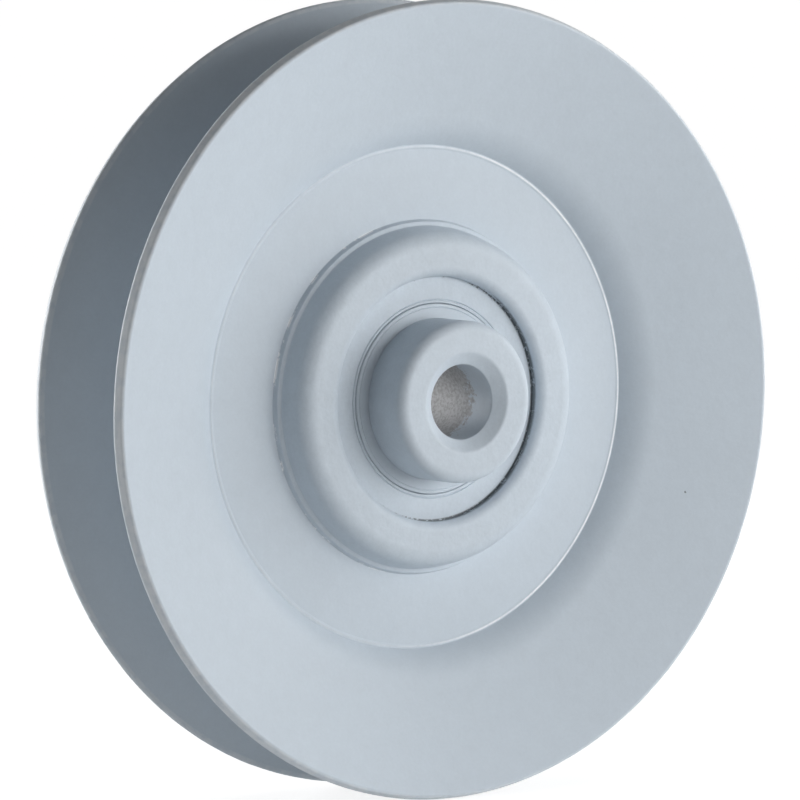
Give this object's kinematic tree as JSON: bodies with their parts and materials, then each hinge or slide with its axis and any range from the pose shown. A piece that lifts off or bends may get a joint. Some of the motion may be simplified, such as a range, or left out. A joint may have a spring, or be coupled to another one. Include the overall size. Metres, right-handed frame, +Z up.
{
  "type": "idler pulley",
  "caption": "Grey painted V-belt idler pulley of two pressed steel halves on a shielded ball bearing, with a turned spacer bush that stands out at the front and takes a bolt.",
  "frame": {"origin": "on the axle line, midway between the two pressed halves", "axes": "Y along the axle line with the nose of the bush towards -Y, +Z up"},
  "size_m": [0.1016, 0.0217, 0.1016],
  "materials": {
    "sheet_paint": "satin light blue-grey paint",
    "shield_paint": "satin light blue-grey paint",
    "ring_paint": "satin light blue-grey paint on the end faces",
    "bush_paint": "satin light blue-grey paint, bare in the bore",
    "ring_steel": "ground steel",
    "ball_steel": "polished steel",
    "cage_steel": "pressed steel strip"
  },
  "bodies": {
    "hub": {"spacer_bush": "bush_paint", "inner_ring": "ring_paint"},
    "pulley": {"front_half": "sheet_paint", "rear_half": "sheet_paint", "outer_ring": "ring_steel", "front_shield": "shield_paint", "rear_shield": "shield_paint"},
    "cage": {"front_cage_half": "cage_steel", "rear_cage_half": "cage_steel", "cage_rivets": "cage_steel"},
    "ball_1": {"ball_1": "ball_steel"},
    "ball_2": {"ball_2": "ball_steel"},
    "ball_3": {"ball_3": "ball_steel"},
    "ball_4": {"ball_4": "ball_steel"},
    "ball_5": {"ball_5": "ball_steel"},
    "ball_6": {"ball_6": "ball_steel"},
    "ball_7": {"ball_7": "ball_steel"},
    "ball_8": {"ball_8": "ball_steel"}
  },
  "joints": [
    {"name": "pulley_spin", "type": "hinge", "parent": "hub", "child": "pulley", "pos_m": [0, 0, 0], "axis": [0, 1, 0], "continuous": true},
    {"name": "cage_orbit", "type": "hinge", "parent": "hub", "child": "cage", "pos_m": [0, 0, 0], "axis": [0, 1, 0], "continuous": true},
    {"name": "ball_1_spin", "type": "hinge", "parent": "cage", "child": "ball_1", "pos_m": [0, 0, 0.01425], "axis": [0, 1, 0], "continuous": true},
    {"name": "ball_2_spin", "type": "hinge", "parent": "cage", "child": "ball_2", "pos_m": [-0.01008, 0, 0.01008], "axis": [0, 1, 0], "continuous": true},
    {"name": "ball_3_spin", "type": "hinge", "parent": "cage", "child": "ball_3", "pos_m": [-0.01425, 0, 0], "axis": [0, 1, 0], "continuous": true},
    {"name": "ball_4_spin", "type": "hinge", "parent": "cage", "child": "ball_4", "pos_m": [-0.01008, 0, -0.01008], "axis": [0, 1, 0], "continuous": true},
    {"name": "ball_5_spin", "type": "hinge", "parent": "cage", "child": "ball_5", "pos_m": [0, 0, -0.01425], "axis": [0, 1, 0], "continuous": true},
    {"name": "ball_6_spin", "type": "hinge", "parent": "cage", "child": "ball_6", "pos_m": [0.01008, 0, -0.01008], "axis": [0, 1, 0], "continuous": true},
    {"name": "ball_7_spin", "type": "hinge", "parent": "cage", "child": "ball_7", "pos_m": [0.01425, 0, 0], "axis": [0, 1, 0], "continuous": true},
    {"name": "ball_8_spin", "type": "hinge", "parent": "cage", "child": "ball_8", "pos_m": [0.01008, 0, 0.01008], "axis": [0, 1, 0], "continuous": true}
  ],
  "couplings": [
    {"joint": "cage_orbit", "follows": "pulley_spin", "ratio": 0.61865},
    {"joint": "ball_1_spin", "follows": "pulley_spin", "ratio": 1.9885},
    {"joint": "ball_2_spin", "follows": "pulley_spin", "ratio": 1.9885},
    {"joint": "ball_3_spin", "follows": "pulley_spin", "ratio": 1.9885},
    {"joint": "ball_4_spin", "follows": "pulley_spin", "ratio": 1.9885},
    {"joint": "ball_5_spin", "follows": "pulley_spin", "ratio": 1.9885},
    {"joint": "ball_6_spin", "follows": "pulley_spin", "ratio": 1.9885},
    {"joint": "ball_7_spin", "follows": "pulley_spin", "ratio": 1.9885},
    {"joint": "ball_8_spin", "follows": "pulley_spin", "ratio": 1.9885}
  ]
}
